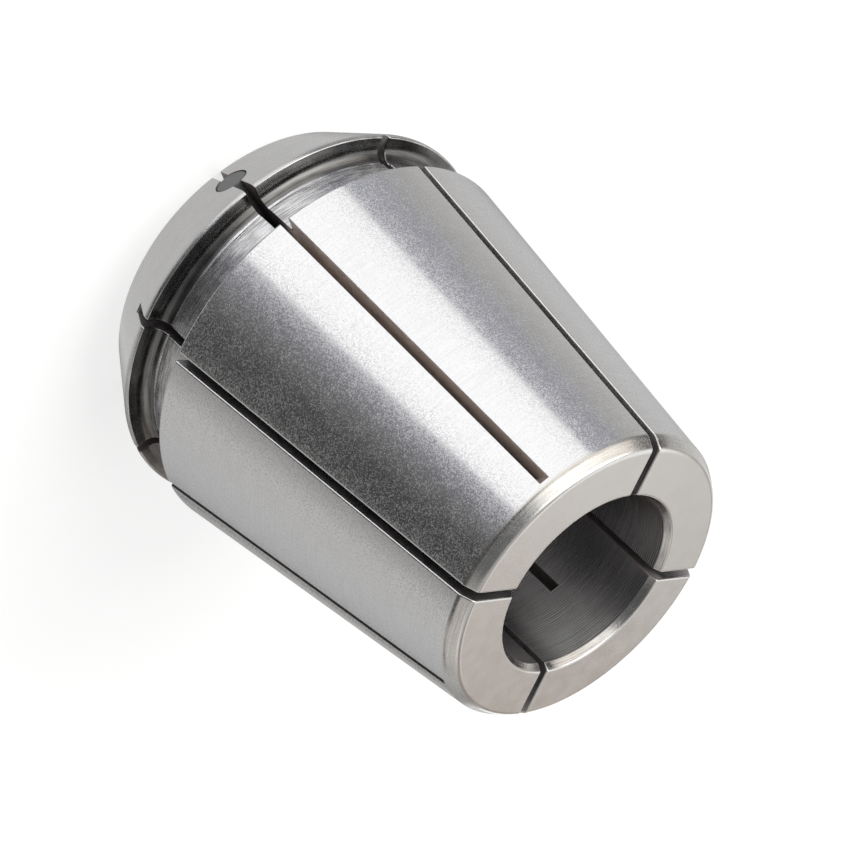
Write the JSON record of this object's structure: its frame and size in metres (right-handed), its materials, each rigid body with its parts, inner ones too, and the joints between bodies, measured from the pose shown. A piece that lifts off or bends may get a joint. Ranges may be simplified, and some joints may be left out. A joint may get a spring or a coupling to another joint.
{
  "type": "er collet",
  "caption": "Slotted spring collet with a long ground taper, a steep nut cone over a groove, a straight clamping bore and flush seal plugs in the slots that open at the nut end.",
  "frame": {"origin": "centre of the nut face, the flat ring that the collet stands on", "axes": "+Z along the bore from the nut face to the small tail end; -Y through the nut slot whose plug the picture shows"},
  "size_m": [0.033, 0.033, 0.04],
  "materials": {
    "ground_steel": "ground and satin, with turned marks in the groove and the bore",
    "plug_rubber": "smooth matt"
  },
  "bodies": {
    "root": {"collet_body": "ground_steel", "seal_plug_1": "plug_rubber", "seal_plug_2": "plug_rubber", "seal_plug_3": "plug_rubber", "seal_plug_4": "plug_rubber"}
  },
  "joints": []
}
